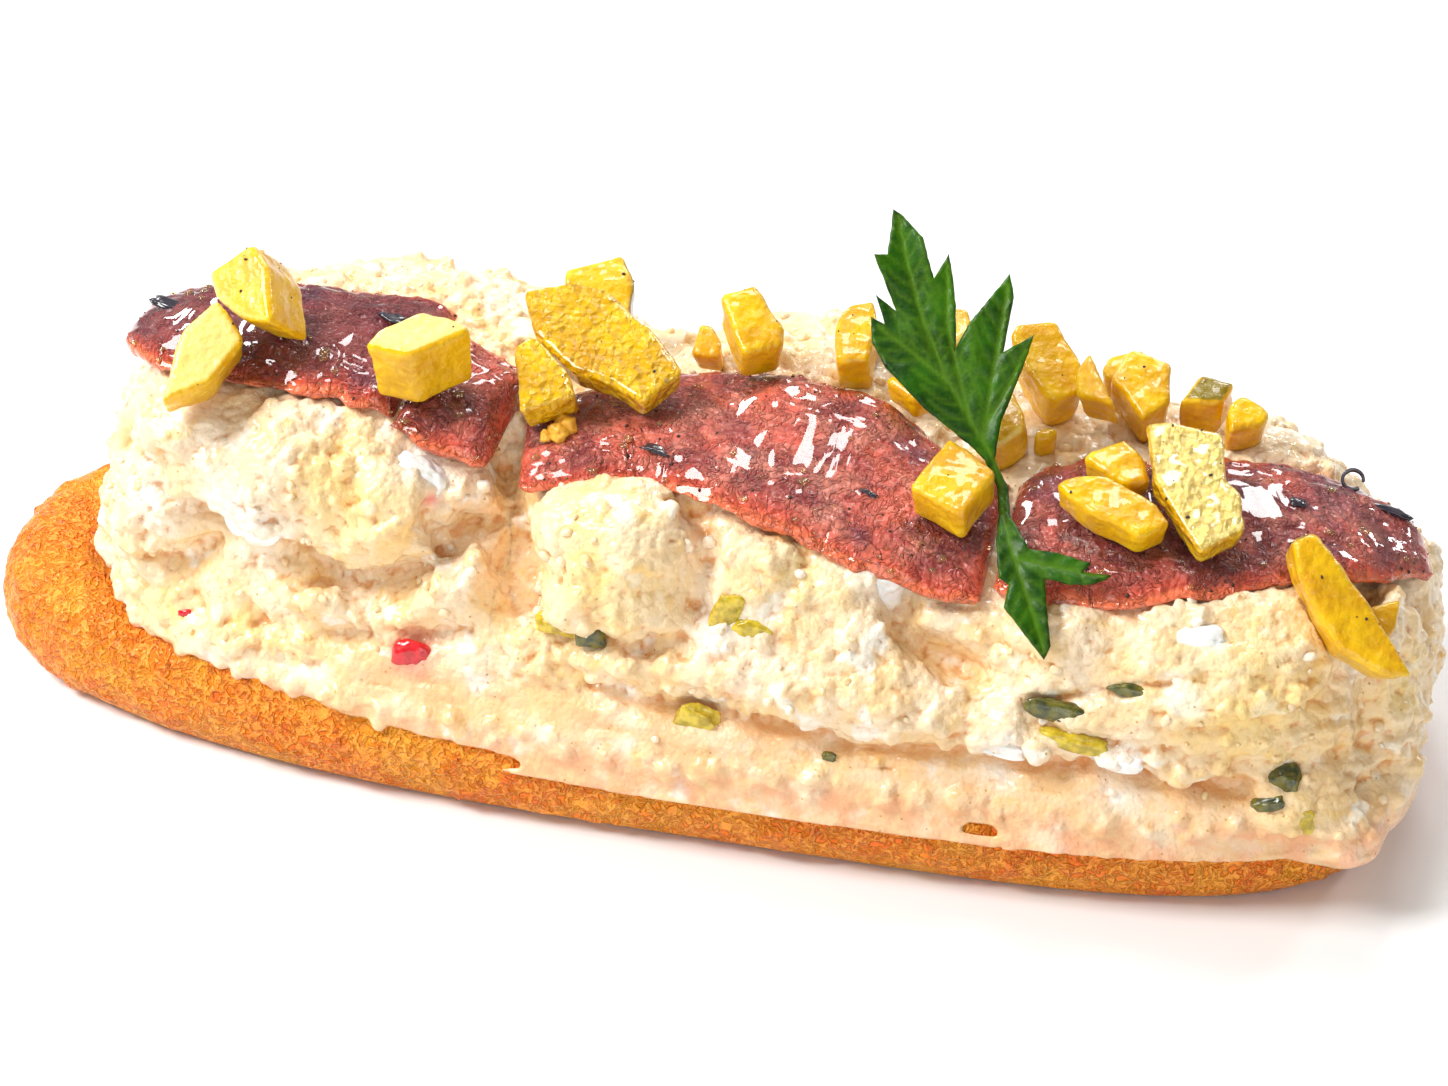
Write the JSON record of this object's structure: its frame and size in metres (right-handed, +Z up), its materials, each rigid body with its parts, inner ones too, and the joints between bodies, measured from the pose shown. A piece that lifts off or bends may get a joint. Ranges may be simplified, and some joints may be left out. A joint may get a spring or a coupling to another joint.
{
  "type": "open sandwich",
  "caption": "Oval ring of crisp toasted bread heaped with potato salad, topped with anchovy fillets, diced gherkin and a sprig of parsley.",
  "frame": {"origin": "centre of the bounding box in plan, on the flat underside of the bread ring", "axes": "+X along the sandwich toward its squarer, overhanging end; -Y toward the side over which the parsley droops; +Z up"},
  "size_m": [0.142, 0.0524, 0.0525],
  "materials": {
    "bread": "crisp golden crust with pores and a fine wrinkled net",
    "potato_salad": "moist granular mash",
    "anchovy": "wet and oily",
    "gherkin": "wet, translucent",
    "parsley": "satin leaf"
  },
  "bodies": {
    "root": {"bread_ring": "bread", "potato_salad": "potato_salad", "anchovy_left": "anchovy", "anchovy_left_tail": "anchovy", "anchovy_middle": "anchovy", "anchovy_right": "anchovy", "gherkin_01": "gherkin", "gherkin_02": "gherkin", "gherkin_03": "gherkin", "gherkin_04": "gherkin", "gherkin_05": "gherkin", "gherkin_06": "gherkin", "gherkin_07": "gherkin", "gherkin_08": "gherkin", "gherkin_09": "gherkin", "gherkin_10": "gherkin", "gherkin_11": "gherkin", "gherkin_12": "gherkin", "gherkin_13": "gherkin", "gherkin_14": "gherkin", "gherkin_15": "gherkin", "gherkin_16": "gherkin", "gherkin_17": "gherkin", "gherkin_18": "gherkin", "gherkin_19": "gherkin", "gherkin_20": "gherkin", "gherkin_21": "gherkin", "gherkin_22": "gherkin", "gherkin_23": "gherkin", "gherkin_24": "gherkin", "gherkin_25": "gherkin", "gherkin_26": "gherkin", "parsley_sprig": "parsley"}
  },
  "joints": []
}
